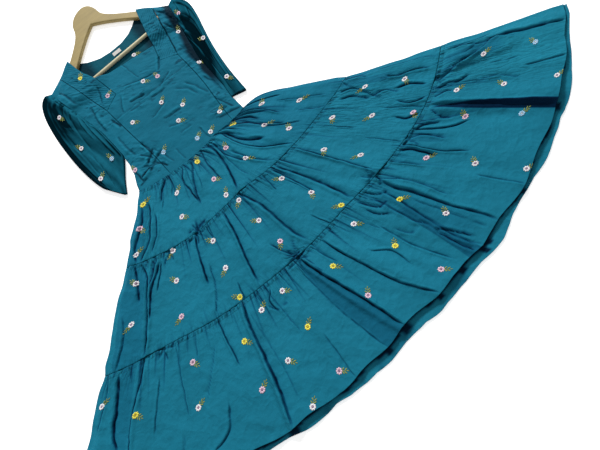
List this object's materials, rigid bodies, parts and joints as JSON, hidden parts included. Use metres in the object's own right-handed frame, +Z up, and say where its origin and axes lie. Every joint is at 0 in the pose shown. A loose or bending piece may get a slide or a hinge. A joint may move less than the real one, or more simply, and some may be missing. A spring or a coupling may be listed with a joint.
{
  "type": "tiered midi dress laid flat with a wooden hanger inside it",
  "caption": "Midi dress laid out flat: square neck, short yoke straps, loose sleeves and a wide gathered skirt in tiers, with a wooden hanger and bar inside the shoulders.",
  "frame": {"origin": "bottom centre of the laid-out dress's box, on the surface it lies on", "axes": "+Z up off the surface, +Y from the hem toward the neck, +X across the dress"},
  "size_m": [1.4588, 1.1906, 0.0259],
  "materials": {
    "teal_cotton": "plain woven teal cotton with small embroidered flowers, soft low sheen",
    "teal_inside": "the same teal cotton seen from its wrong side or in shade",
    "pale_wood": "pale beech with a thin satin varnish",
    "label_white": "bare woven label"
  },
  "bodies": {
    "root": {"front_tier_1": "teal_cotton", "front_tier_2": "teal_cotton", "front_tier_3": "teal_cotton", "back_tier_1": "teal_inside", "back_tier_2": "teal_inside", "back_tier_3": "teal_inside", "hanger_arms": "pale_wood", "hanger_bar": "pale_wood", "front_bodice_center": "teal_cotton", "front_bodice_side_left": "teal_cotton", "front_bodice_side_right": "teal_cotton", "front_strap_left": "teal_cotton", "front_strap_right": "teal_cotton", "back_bodice": "teal_inside", "neck_label": "label_white", "sleeve_left": "teal_inside", "sleeve_right": "teal_inside"}
  },
  "joints": []
}
